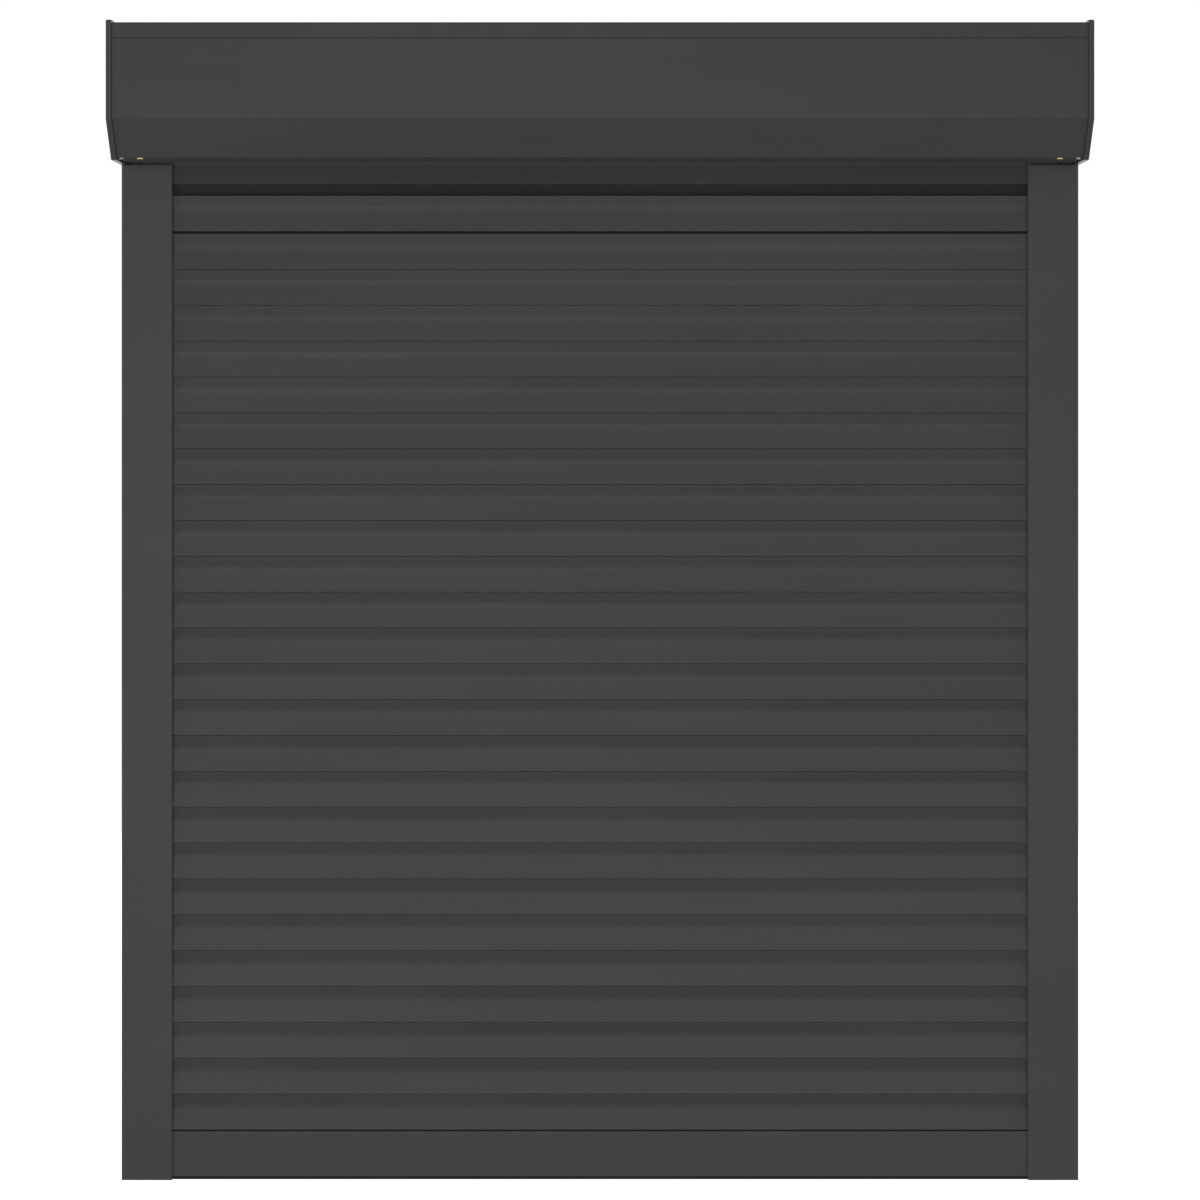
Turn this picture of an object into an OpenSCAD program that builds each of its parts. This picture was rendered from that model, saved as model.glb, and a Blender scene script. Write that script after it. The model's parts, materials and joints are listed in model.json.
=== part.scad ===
// Exterior roller shutter, closed: housing, guide rails, curtain of interlocking slats and bottom bar.
// Millimetres. Z is up, the front faces -Y, the wall plane is Y = 0 and the rails stand on Z = 0.

/* [Overall] */
// Width over the end caps and rails
overall_w = 1000; // [800:10:1400]
// Height from the sill to the top of the housing
overall_h = 1200; // [1000:10:1500]

/* [Housing] */
// Depth of the end caps, from the wall to the front
housing_d = 137; // [130:1:165]
// Height of the end caps
housing_h = 139.4; // [132:0.1:165]
// Size of the 45 degree slant below the front
slant = 38.6; // [30:0.1:44]
// Sheet thickness of the covers
sheet_t = 1.2; // [0.8:0.1:1.6]
// How far the rim of an end cap stands proud of the covers
rim_proud = 2.4; // [1.6:0.1:3]
// Thickness of the rim of an end cap
rim_t = 5.5; // [4.5:0.1:7]
// Thickness of the plate inside the rim
cap_plate_t = 3; // [2.5:0.1:4]
// Radius of the cap's corners
cap_corner_r = 3; // [2:0.5:5]
// Outer radius of the bends in the covers
cover_bend_r = 2; // [1.5:0.1:3]
// Depth of the collar that the covers sit on
collar_l = 14; // [10:1:15]
// Wall of the collar
collar_t = 1.8; // [1.5:0.1:2.5]
// Height of the top cover's front and rear lips
lip_h = 15; // [12:0.5:20]
// Groove between a lip and the cover below it
lap_gap = 1.8; // [1:0.1:2.5]
// Height of the tongue behind a lip
tongue_h = 9; // [6:0.5:11]
// Distance from the wall to the front edge of the slat slot
slot_front = 27; // [26:0.5:32]
// Height of the upturned edge at the slot
slot_edge_h = 11; // [9:0.5:14]
// Depth of the rear panel's foot
rear_foot = 4; // [3:0.1:5]

/* [Housing screws and rivets] */
// Distance of a cover screw from the outer face of the end cap
screw_inset = 29; // [25:0.5:34]
// Distance of a cover screw behind the slant
screw_setback = 7; // [6.5:0.1:10]
// Radius of the screw's shank
screw_r = 1.8; // [1.5:0.1:2.2]
// Radius of the screw's head
screw_head_r = 3.6; // [3.2:0.1:4.2]
// Height of the screw's head
screw_head_h = 1.9; // [1.4:0.1:2.2]
// Height of the lug that takes the screw
lug_h = 8; // [6:0.5:12]
// Half depth of the lug
lug_half = 5.5; // [5:0.1:5.8]
// Radius of a rivet's shank
rivet_r = 1.6; // [1.4:0.1:2]
// Radius of a rivet's head
rivet_head_r = 3.2; // [2.8:0.1:3.6]
// Height of a rivet's head
rivet_head_h = 1; // [0.8:0.1:1.4]
// Distance between the two rivets of a row
rivet_spacing = 70; // [50:1:80]
// Distance of an underside rivet from the end of the cover
underside_rivet_inset = 4; // [3.6:0.1:6]

/* [Roller] */
// Octagonal tube across its flats
tube_af = 40; // [38:1:50]
// Wall of the tube
tube_wall = 1; // [0.8:0.1:1.5]
// Distance from the end of the tube to the outer face of the end cap
tube_inset = 45; // [42:0.5:60]
// Depth of a plug in the tube
plug_depth = 30; // [20:1:50]
// Radius of a plug's flange
plug_flange_r = 24; // [23:0.5:28]
// Thickness of a plug's flange
plug_flange_t = 3; // [2:0.5:4]
// Radius of a plug's shoulder
plug_shoulder_r = 10; // [9:0.5:12]
// Radius of a plug's pin
pin_r = 6; // [5:0.5:7]
// Outer radius of a bearing
bearing_r = 14; // [13:0.5:16]
// Width of a bearing
bearing_w = 8; // [7:0.5:8]
// Wall of the bearing seat
seat_wall = 3; // [2:0.5:4]
// Radius of the strap pulley
pulley_r = 55; // [48:1:57]
// Radius of the pulley's hub
pulley_hub_r = 22; // [18:1:28]
// Thickness of a pulley flange
pulley_flange_t = 1.6; // [1.2:0.1:2]
// Width of the strap that the pulley takes
strap_w = 14; // [13:0.1:14.5]
// Number of hanger springs
hanger_count = 3; // [2:1:5]
// Width of a hanger spring
hanger_w = 24; // [18:1:30]
// Thickness of a hanger spring
hanger_t = 0.8; // [0.6:0.1:1]

/* [Strap inlet] */
// Thickness of the strap slot
strap_slot_t = 6; // [5:0.1:8]
// Wall of the inlet bush
bush_wall = 1.6; // [1.2:0.1:2]
// Rim of the inlet bush around its wall
bush_rim = 1.4; // [1:0.1:1.6]
// Height of the strap slot above the underside of the housing
strap_slot_z = 60; // [56:1:70]

/* [Guide rails] */
// Width of a rail
rail_w = 53; // [50:1:60]
// Depth of a rail
rail_d = 22; // [22:0.5:26]
// Wall of a rail
rail_wall = 1.8; // [1.4:0.1:2]
// Inside width of the outer chamber
chamber_w = 17; // [16:0.5:18]
// Clear depth of the slat channel, from front to rear
channel_d = 12; // [11.6:0.1:13]
// Radius of a rail's outer corners
rail_corner_r = 1.2; // [0.5:0.1:1.5]
// Width of a seal's bead
seal_w = 5; // [4:0.5:7]
// Distance of a seal from the mouth of the channel
seal_inset = 1.2; // [0.8:0.1:3]
// Depth of a seal's foot in its groove
seal_foot_d = 0.8; // [0.5:0.1:0.9]
// Radius of a rail's fixing holes
fixing_r = 3; // [2.5:0.25:4]
// Radius of the access holes inside the channel
access_r = 5.5; // [5:0.25:6.5]
// Distance of the end holes from the ends of a rail
fixing_end = 120; // [80:5:200]
// Length of the tongue of an end cap in a rail
rail_tongue_l = 35; // [20:1:60]
// How far the bridge over a rail, which joins the tongue to its cap, sits behind the front of the tongue
bridge_setback = 6; // [4:0.5:7]
// Height of the guides above the rails
guide_h = 21; // [18:0.5:26]

/* [Curtain] */
// Covering height of one slat
slat_pitch = 37.5; // [37:0.1:40]
// Depth of the bow in the slat's face
slat_bow = 3.2; // [2.4:0.1:3.4]
// Rise of the slat's rear face
slat_rear_bow = 1.4; // [1:0.1:1.6]
// Height of the bow's deepest line
slat_bend_z = 23; // [22:0.5:25]
// Radius of the bow
slat_bend_r = 24; // [15:1:30]
// Thickness of a slat at its upper and lower edges
slat_body_t = 7.6; // [7.5:0.1:8]
// Thickness of the neck that carries the hook
neck_t = 0.9; // [0.7:0.1:1]
// Distance of the neck behind the slat's front edge
neck_y = 5.6; // [5.4:0.05:5.7]
// Height of the neck below the hook
neck_h = 13.8; // [13.6:0.1:14.2]
// Reach of the hook in front of the neck
hook_reach = 1.4; // [1.2:0.1:1.5]
// Height of the hook
hook_h = 1.4; // [1:0.1:1.6]
// Height of the catch at the foot of a slat
catch_h = 1.1; // [0.8:0.1:1.2]
// How far a slat enters each rail
slat_entry = 15; // [12:0.5:17]
// Thickness of an end lock
end_lock_t = 2.4; // [1.5:0.1:2.5]
// Height of an end lock
end_lock_h = 15; // [10:0.5:16]
// How far the second slat from the top hangs above its closed place
second_slat_lift = 2.4; // [0:0.1:4]
// How far the top slat hangs above its closed place on the second one
top_slat_lift = 11.9; // [8:0.1:12.2]

/* [Bottom bar] */
// Height of the bar, with the seal, up to its shoulder
bar_h = 50.7; // [45:0.1:60]
// Gap between the bar's shoulder and the first slat
bar_joint = 1.3; // [0.3:0.1:2]
// Wall of the bar
bar_wall = 1.4; // [1.2:0.1:1.8]
// Height of the seal below the bar
bar_seal_h = 3; // [2:0.1:5]
// Thickness of a bar plug's head
bar_plug_t = 2.4; // [1.5:0.1:2.6]
// Depth of a bar plug in the bar
bar_plug_l = 20; // [10:1:40]

/* [Clearances] */
// Between a slat and its neighbour, at the closed joint
slat_gap = 0.3; // [0.2:0.05:0.5]
// Between a hook and the pocket around it
hook_gap = 0.3; // [0.25:0.05:0.4]
// Between the end of a slat or the bar and the piece set on it
lock_gap = 0.05; // [0.03:0.01:0.1]
// How far an end lock or a bar plug stays inside the profile's depth
lock_relief = 0.6; // [0.4:0.1:0.8]
// Around sheet covers, collars and seated pieces
seat_gap = 0.15; // [0.1:0.01:0.2]
// Around tongues and plugs
plug_gap = 0.25; // [0.15:0.01:0.3]
// Between a slat and a rail seal
seal_gap = 0.35; // [0.3:0.01:0.4]
// Between a pin and its bearing
bearing_gap = 0.05; // [0.02:0.01:0.08]

/* [Hidden] */
$fn = 48;
half_w = overall_w / 2;
rail_h = overall_h - housing_h;
rail_x = half_w - rail_w;
channel_x = half_w - rail_wall - chamber_w - rail_wall;
channel_front_y = -rail_d + rail_wall;
channel_rear_y = channel_front_y + channel_d;
cover_end_x = half_w - rim_t - seat_gap;
collar_x = half_w - rim_t - collar_l;
cover_inset = rim_proud;
inner_inset = rim_proud + sheet_t;
collar_inset = inner_inset + seat_gap;
lap_z = overall_h - rim_proud - lip_h;
tongue_x = collar_x - plug_gap;
underside_z = rail_h + rim_proud;
floor_z = rail_h + inner_inset;
screw_x = half_w - screw_inset;
screw_y = -housing_d + slant + screw_setback;
axis_y = -housing_d / 2;
axis_z = rail_h + housing_h / 2;
tube_end_x = half_w - tube_inset;
seat_x = half_w - cap_plate_t - bearing_w - seat_gap;
pulley_w = strap_w + 1 + 2 * pulley_flange_t;
pulley_x = seat_x - 1.5 - pulley_w;
strap_x = pulley_x + pulley_w / 2;
slat_t = slat_body_t + slat_rear_bow;
slat_y = channel_front_y + (channel_d - slat_t) / 2;
slat_end_x = rail_x + slat_entry;
slat_top = slat_pitch - slat_gap;
pocket_front = neck_y - hook_reach - hook_gap;
pocket_rear = neck_y + neck_t + hook_gap;
mouth_front = neck_y - 1.5 * hook_gap;
pocket_h = neck_h + hook_h + 1;
first_joint_z = bar_h + bar_joint;
slat_count = floor((rail_h - first_joint_z) / slat_pitch) + 1;
bar_t = slat_t;
seal_t = (channel_d - slat_t) / 2 - seal_gap;
rivet_rows = [-rivet_spacing / 2, rivet_spacing / 2];
fixing_heights = [fixing_end, rail_h / 2, rail_h - fixing_end];

function two_digits(i) = str(i < 10 ? "0" : "", i);
function slat_name(i) = str("slat_", two_digits(i));

paint = [0.21, 0.22, 0.23];
rubber = [0.06, 0.06, 0.06];
plastic = [0.12, 0.12, 0.12];
steel = [0.7, 0.71, 0.72];
brass = [0.72, 0.6, 0.36];

// Points of a corner at p, between a and b, rounded to radius r
function unit(v) = v / norm(v);
function corner(a, p, b, r, n) =
    r == 0 ? [p] :
    let (u = unit(a - p), w = unit(b - p), half = acos(u * w) / 2)
    let (c = p + unit(u + w) * r / sin(half), t = r / tan(half))
    let (s = p + u * t, e = p + w * t)
    [for (i = [0:n]) c + r * unit(s + (e - s) * i / n - c)];

// Closed outline through points, with a radius for each
function rounded(points, radii, n = 4) =
    let (m = len(points))
    [for (i = [0:m - 1]) each corner(points[(i + m - 1) % m], points[i], points[(i + 1) % m], radii[i], n)];

// Outline of the housing in Y and Z, drawn in by inset on all sides
function housing_outline(inset) =
    let (back = -inset, front = inset - housing_d, low = rail_h + inset, high = overall_h - inset)
    let (cut = slant - inset * (2 - sqrt(2)))
    [[back, low], [back, high], [front, high], [front, low + cut], [front + cut, low]];

module housing_area(inset) {
    radius = inset == 0 ? cap_corner_r : max(cover_bend_r + cover_inset - inset, 0.4);
    polygon(rounded(housing_outline(inset), [for (i = [0:4]) radius]));
}

module housing_ring(inset, wall) {
    difference() {
        housing_area(inset);
        housing_area(inset + wall);
    }
}

// Extrudes a profile drawn in Y and Z along X
module along_x(x0, x1) {
    translate([x0, 0, 0]) rotate([90, 0, 90]) linear_extrude(x1 - x0) children();
}

// A cylinder along X
module rod_x(x0, x1, r) {
    translate([x0, axis_y, axis_z]) rotate([0, 90, 0]) cylinder(h = x1 - x0, r = r);
}

// Draws the right-hand piece, or its mirror image on the left
module on_side(right) {
    if (right) children();
    else mirror([1, 0, 0]) children();
}

// Square given by two corners
module box2(low, high) {
    translate(low) square(high - low);
}

module box3(low, high) {
    translate(low) cube(high - low);
}

module housing_top_cover() {
    color(paint) difference() {
        along_x(-cover_end_x, cover_end_x) intersection() {
            housing_ring(cover_inset, sheet_t);
            box2([-housing_d, lap_z], [0, overall_h]);
        }
        rivet_holes_top();
    }
}

// Tongue that goes up behind a lip of the top cover, joggled from the sheet below
module lap_tongue() {
    foot = lap_z - lap_gap - sheet_t;
    inner = inner_inset + seat_gap;
    box2([inner, foot - 2 * sheet_t], [inner + sheet_t, lap_z + tongue_h]);
    box2([cover_inset, foot - sheet_t], [inner + sheet_t, foot]);
}

module housing_front_cover() {
    low_z = floor_z - sheet_t;
    color(paint) difference() {
        union() {
            along_x(-cover_end_x, cover_end_x) intersection() {
                housing_ring(cover_inset, sheet_t);
                box2([-housing_d, rail_h], [-slot_front, lap_z - lap_gap]);
            }
            along_x(-tongue_x, tongue_x) {
                translate([-housing_d, 0]) lap_tongue();
                box2([-slot_front - sheet_t, low_z], [-slot_front, low_z + slot_edge_h]);
            }
        }
        for (side = [-1, 1]) translate([side * screw_x, screw_y, rail_h])
            cylinder(h = inner_inset + 1, r = screw_r + seat_gap);
        rivet_place_under() rivet(seat_gap, false);
    }
}

module housing_rear_panel() {
    color(paint) difference() {
        union() {
            along_x(-cover_end_x, cover_end_x) intersection() {
                housing_ring(cover_inset, sheet_t);
                box2([-inner_inset, floor_z], [0, lap_z - lap_gap]);
            }
            along_x(-rail_x, rail_x)
                box2([-inner_inset - rear_foot, floor_z], [-cover_inset, floor_z + sheet_t]);
            for (side = [0, 1]) mirror([side, 0, 0]) along_x(rail_x + plug_gap, cover_end_x)
                box2([-inner_inset, rail_h + seat_gap], [-cover_inset, floor_z + 1]);
            along_x(-tongue_x, tongue_x) mirror([1, 0]) lap_tongue();
        }
        rivet_holes_rear();
        strap_bush(seat_gap);
    }
}

// Outer shape of the bush, widened by gap for its hole in the rear panel
module strap_bush(gap) {
    half_x = strap_w / 2 + bush_wall + gap;
    half_z = strap_slot_t / 2 + bush_wall + gap;
    z = rail_h + strap_slot_z;
    box3([-strap_x - half_x, -inner_inset - 2 - gap, z - half_z], [-strap_x + half_x, 0, z + half_z]);
}

module strap_inlet() {
    z = rail_h + strap_slot_z;
    half_x = strap_w / 2 + bush_wall;
    half_z = strap_slot_t / 2 + bush_wall;
    rim_y = -cover_inset + seat_gap;
    color(plastic) difference() {
        union() {
            box3([-strap_x - half_x, -inner_inset - 2, z - half_z],
                 [-strap_x + half_x, rim_y + 0.5, z + half_z]);
            box3([-strap_x - half_x - bush_rim, rim_y, z - half_z - bush_rim],
                 [-strap_x + half_x + bush_rim, rim_y + 1.6, z + half_z + bush_rim]);
        }
        box3([-strap_x - strap_w / 2, -housing_d / 2, z - strap_slot_t / 2],
             [-strap_x + strap_w / 2, 1, z + strap_slot_t / 2]);
    }
}

module rivet_place_top() {
    for (side = [-1, 1], y = rivet_rows)
        translate([side * (collar_x + collar_l / 2), axis_y + y, overall_h - cover_inset]) children();
}

module rivet_place_rear() {
    x = collar_x + collar_l / 2;
    for (side = [-1, 1], z = rivet_rows)
        translate([side * x, -cover_inset, axis_z + z]) rotate([-90, 0, 0]) children();
}

module rivet_place_under() {
    x = cover_end_x - underside_rivet_inset;
    for (side = [-1, 1]) translate([side * x, screw_y, underside_z]) mirror([0, 0, 1]) children();
}

module rivet(gap, head) {
    depth = sheet_t + seat_gap + collar_t;
    translate([0, 0, -depth - 0.5]) cylinder(h = depth + 0.7, r = rivet_r + gap);
    if (head) translate([0, 0, seat_gap / 2])
        cylinder(h = rivet_head_h, r1 = rivet_head_r, r2 = rivet_head_r - 0.6);
}

module rivet_holes_top() {
    rivet_place_top() rivet(seat_gap, false);
}

module rivet_holes_rear() {
    rivet_place_rear() rivet(seat_gap, false);
}

module underside_rivets() {
    color(steel) rivet_place_under() rivet(0, true);
}

module cover_rivets() {
    color(paint) {
        rivet_place_top() rivet(0, true);
        rivet_place_rear() rivet(0, true);
    }
}

module cover_screws() {
    head_top = underside_z - seat_gap / 2;
    color(brass) for (side = [-1, 1]) translate([side * screw_x, screw_y, 0]) difference() {
        union() {
            translate([0, 0, head_top - screw_head_h])
                cylinder(h = screw_head_h, r1 = screw_head_r - 0.7, r2 = screw_head_r);
            translate([0, 0, head_top - 0.2]) cylinder(h = inner_inset + lug_h - rim_proud, r = screw_r);
        }
        for (turn = [0, 90]) rotate(turn)
            translate([-screw_head_r * 0.6, -0.45, head_top - screw_head_h - 1])
                cube([screw_head_r * 1.2, 0.9, 1.9]);
    }
}

module end_cap(right) {
    x_rim = half_w - rim_t;
    x_plate = half_w - cap_plate_t;
    lug_z = floor_z + seat_gap;
    tongue_in = half_w - rail_wall - chamber_w + plug_gap;
    tongue_out = half_w - rail_wall - plug_gap;
    tongue_front = channel_front_y + plug_gap;
    tongue_rear = -rail_wall - plug_gap;
    color(paint) on_side(right) difference() {
        union() {
            difference() {
                along_x(x_rim, half_w) housing_area(0);
                along_x(x_rim - 1, x_plate) housing_area(collar_inset + collar_t);
            }
            along_x(collar_x, x_plate) housing_ring(collar_inset, collar_t);
            rod_x(seat_x, x_plate + 0.5, bearing_r + seat_wall);
            box3([screw_x - lug_half, screw_y - lug_half, lug_z],
                 [x_plate + 0.5, screw_y + lug_half, lug_z + lug_h]);
            box3([tongue_in, tongue_front, rail_h - rail_tongue_l], [tongue_out, tongue_rear, rail_h]);
            box3([tongue_in, tongue_front + bridge_setback, rail_h - 1],
                 [x_plate + 0.5, -inner_inset - rear_foot - 1, floor_z + collar_t]);
        }
        rod_x(seat_x - 1, seat_x + bearing_w + seat_gap, bearing_r + bearing_gap);
        translate([screw_x, screw_y, rail_h]) cylinder(h = housing_h / 2, r = screw_r + bearing_gap);
        box3([tongue_in + 2.5, tongue_front + 2.5, rail_h - rail_tongue_l - 1],
             [tongue_out - 2.5, tongue_rear - 2.5, rail_h - 3]);
        rivet_holes_top();
        rivet_holes_rear();
        rivet_place_under() rivet(seat_gap, false);
        if (!right) mirror([1, 0, 0]) strap_bush(plug_gap);
    }
}

// Rubber strip on the upturned edge, with a fin towards the curtain
module inlet_strip() {
    base_y = -slot_front + seat_gap;
    fin_y = slat_y - 1.2;
    z0 = floor_z + 1;
    color(rubber) along_x(-rail_x + 3, rail_x - 3) {
        box2([base_y, z0], [base_y + 2, z0 + slot_edge_h - 3]);
        polygon([[base_y + 1, z0 + 2], [fin_y, z0 + 3.4], [fin_y, z0 + 4.2], [base_y + 1, z0 + 5]]);
    }
}

// Funnel over a rail's channel: two flared horns and the web between them
module inlet_guide(right) {
    z0 = rail_h + seat_gap;
    waist = z0 + guide_h / 2;
    top = z0 + guide_h;
    web_x = channel_x - 2.2;
    front = channel_front_y - seat_gap;
    rear = channel_rear_y + seat_gap;
    horn = 1.5;
    flare = 2.6;
    color(plastic) on_side(right) {
        along_x(rail_x + 3, channel_x - plug_gap) {
            polygon([[front - horn, z0], [front, z0], [front, waist], [front - flare, top],
                     [front - flare - 0.9, top], [front - horn, waist]]);
            polygon([[rear, z0], [rear + horn, z0], [rear + horn, waist], [rear + flare + 0.9, top],
                     [rear + flare, top], [rear, waist]]);
        }
        box3([web_x, front - horn, z0], [channel_x - plug_gap, rear + horn, waist]);
    }
}

module bearing(right) {
    color(steel) on_side(right) difference() {
        rod_x(seat_x, seat_x + bearing_w, bearing_r);
        rod_x(seat_x - 1, seat_x + bearing_w + 1, pin_r + bearing_gap);
    }
}

// Octagon with its flats facing front, rear, up and down
module octagon(across) {
    translate([axis_y, axis_z]) rotate(22.5) circle(d = across / cos(22.5), $fn = 8);
}

module roller_tube() {
    color(steel) along_x(-tube_end_x, tube_end_x) difference() {
        octagon(tube_af);
        octagon(tube_af - 2 * tube_wall);
    }
}

// Plug in the end of the tube, with its flange, shoulder and pin
module roller_plug(right) {
    flange_x = tube_end_x + seat_gap;
    shoulder_x = right ? seat_x - 1 : pulley_x - seat_gap;
    color(plastic) on_side(right) {
        along_x(tube_end_x - plug_depth, flange_x + 0.5) octagon(tube_af - 2 * tube_wall - 2 * plug_gap);
        rod_x(flange_x, flange_x + plug_flange_t, plug_flange_r);
        rod_x(flange_x, shoulder_x, plug_shoulder_r);
        rod_x(flange_x, seat_x + bearing_w - 0.2, pin_r);
    }
}

module strap_pulley() {
    window_r = (pulley_r - pulley_hub_r) / 3;
    color(plastic) on_side(false) difference() {
        union() {
            rod_x(pulley_x, pulley_x + pulley_w, pulley_hub_r);
            rod_x(pulley_x, pulley_x + pulley_flange_t, pulley_r);
            rod_x(pulley_x + pulley_w - pulley_flange_t, pulley_x + pulley_w, pulley_r);
        }
        rod_x(pulley_x - 1, pulley_x + pulley_w + 1, pin_r + bearing_gap);
        for (turn = [0:60:300]) translate([0, axis_y, axis_z]) rotate([turn, 0, 0])
            translate([pulley_x - 1, 0, (pulley_r + pulley_hub_r) / 2]) rotate([0, 90, 0])
                cylinder(h = pulley_w + 2, r = window_r);
    }
}

// Spring strips from the rear flat of the tube down to the hook of the top slat
module hanger_springs() {
    flat_y = axis_y + tube_af / 2 + seat_gap;
    hook_y = slat_y + neck_y - hook_reach;
    hook_z = slat_z(slat_count) + slat_top + neck_h + hook_h + slat_gap;
    span = half_w - tube_inset - plug_depth - 60;
    color(steel) for (i = [0:hanger_count - 1]) {
        x = -span + 2 * span * i / (hanger_count - 1);
        along_x(x - hanger_w / 2, x + hanger_w / 2) polygon([
            [flat_y, axis_z + 7], [flat_y + hanger_t, axis_z + 7], [flat_y + hanger_t, axis_z - 6],
            [hook_y, hook_z + hanger_t], [hook_y + hook_reach + neck_t, hook_z + hanger_t],
            [hook_y + hook_reach + neck_t, hook_z], [hook_y, hook_z], [flat_y, axis_z - 6 - hanger_t / 2]
        ]);
    }
}

// Groove or foot of a seal on the front or rear wall of the channel
module seal_foot(front, gap) {
    x0 = rail_x + seal_inset + seal_w / 4 - gap;
    x1 = x0 + seal_w / 2 + 2 * gap;
    wall_y = front ? channel_front_y : channel_rear_y;
    reach = seal_foot_d + gap;
    y0 = front ? wall_y - reach : wall_y - 0.5;
    y1 = front ? wall_y + 0.5 : wall_y + reach;
    box2([x0, y0], [x1, y1]);
}

module rail(right) {
    corners = [[rail_x, -rail_d], [half_w, -rail_d], [half_w, 0], [rail_x, 0]];
    hole_y = (channel_front_y + channel_rear_y) / 2;
    color(paint) on_side(right) difference() {
        linear_extrude(rail_h) difference() {
            polygon(rounded(corners, [for (i = [0:3]) rail_corner_r]));
            box2([half_w - rail_wall - chamber_w, channel_front_y], [half_w - rail_wall, -rail_wall]);
            box2([rail_x - 1, channel_front_y], [channel_x, channel_rear_y]);
            box2([rail_x + rail_wall, channel_rear_y + rail_wall], [channel_x, -rail_wall]);
            seal_foot(true, seat_gap);
            seal_foot(false, seat_gap);
        }
        for (z = fixing_heights) translate([0, hole_y, z]) rotate([0, 90, 0]) {
            translate([0, 0, half_w - rail_wall - 1]) cylinder(h = rail_wall + 2, r = fixing_r);
            translate([0, 0, channel_x - 1]) cylinder(h = rail_wall + 2, r = access_r);
        }
    }
}

// Rubber bead along the mouth of a rail, held by its foot
module rail_seal(right, front) {
    x0 = rail_x + seal_inset;
    x1 = x0 + seal_w;
    y0 = front ? channel_front_y + seat_gap / 2 : channel_rear_y - seal_t;
    y1 = y0 + seal_t - seat_gap / 2;
    r = seal_t * 0.45;
    bead = [[x0, y0], [x1, y0], [x1, y1], [x0, y1]];
    radii = front ? [0, 0, r, r] : [r, r, 0, 0];
    color(rubber) on_side(right) linear_extrude(rail_h) {
        polygon(rounded(bead, radii));
        seal_foot(front, 0);
    }
}

// Neck and hook on top of a slat or the bar, from the shoulder's height up
function hook_points(shoulder) = [
    [neck_y, shoulder], [neck_y, shoulder + neck_h], [neck_y - hook_reach, shoulder + neck_h],
    [neck_y - hook_reach, shoulder + neck_h + hook_h], [neck_y + neck_t, shoulder + neck_h + hook_h],
    [neck_y + neck_t, shoulder]
];

// Slat in section: bowed face, nose, hook, rear face and the pocket that takes the hook below
function slat_outline() = rounded(
    concat(
        [[0, 0], [slat_bow, slat_bend_z], [0, slat_top]],
        hook_points(slat_top),
        [[slat_body_t, slat_top], [slat_t, slat_bend_z], [slat_body_t, 0],
         [pocket_rear, 0], [pocket_rear, pocket_h], [pocket_front, pocket_h], [pocket_front, catch_h],
         [mouth_front, catch_h], [mouth_front, 0]]
    ),
    [0.3, slat_bend_r, 0.35, 0, 0, 0, 0.5, 0.3, 0, 0.4, slat_bend_r, 0.3, 0, 0.3, 0, 0, 0, 0]
);

function slat_lift(i) =
    i == slat_count ? second_slat_lift + top_slat_lift :
    i == slat_count - 1 ? second_slat_lift : 0;
function slat_z(i) = first_joint_z + (i - 1) * slat_pitch + slat_lift(i);

// One slat, with an end lock at each end
module slat(i) {
    lock_z = slat_bend_z - end_lock_h / 2 + 2;
    color(paint) translate([0, slat_y, slat_z(i)]) {
        along_x(-slat_end_x, slat_end_x) polygon(slat_outline());
        for (side = [0, 1]) mirror([side, 0, 0]) translate([slat_end_x + lock_gap, slat_bow, lock_z])
            cube([end_lock_t, slat_t - slat_bow - lock_relief, end_lock_h]);
    }
}

module bar_cavity(gap) {
    low = bar_seal_h + 8;
    box2([bar_wall + gap, low + gap], [bar_t - bar_wall - gap, bar_h - bar_wall - gap]);
}

module bottom_bar() {
    outline = concat(
        [[0, bar_seal_h], [0, bar_h]], hook_points(bar_h), [[bar_t, bar_h], [bar_t, bar_seal_h]]
    );
    radii = [0.6, 1, 0, 0, 0, 0.5, 0.3, 0, 0.6, 0.6];
    color(paint) translate([0, slat_y, 0]) along_x(-slat_end_x, slat_end_x) difference() {
        polygon(rounded(outline, radii));
        bar_cavity(0);
        seal_stem(seat_gap);
    }
}

// T-shaped stem of the bottom seal, or its groove in the bar
module seal_stem(gap) {
    mid = bar_t / 2;
    box2([mid - 1.2 - gap, bar_seal_h - 1], [mid + 1.2 + gap, bar_seal_h + 4]);
    box2([mid - 2.4 - gap, bar_seal_h + 3 - gap], [mid + 2.4 + gap, bar_seal_h + 4.6 + gap]);
}

module bottom_seal() {
    bead = [[0.4, 0], [bar_t - 0.4, 0], [bar_t - 0.4, bar_seal_h - seat_gap], [0.4, bar_seal_h - seat_gap]];
    color(rubber) translate([0, slat_y, 0]) along_x(-slat_end_x, slat_end_x) {
        polygon(rounded(bead, [1, 1, 0, 0]));
        seal_stem(0);
    }
}

// Plug in the open end of the bar, with a head that runs in the rail
module bar_plug(right) {
    head_x = slat_end_x + lock_gap;
    low = [lock_relief, bar_seal_h + 1];
    high = [bar_t - lock_relief, bar_h - 1];
    color(plastic) on_side(right) translate([0, slat_y, 0]) {
        along_x(slat_end_x - bar_plug_l, head_x + 0.5) bar_cavity(plug_gap);
        along_x(head_x, head_x + bar_plug_t) box2(low, high);
    }
}

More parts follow.
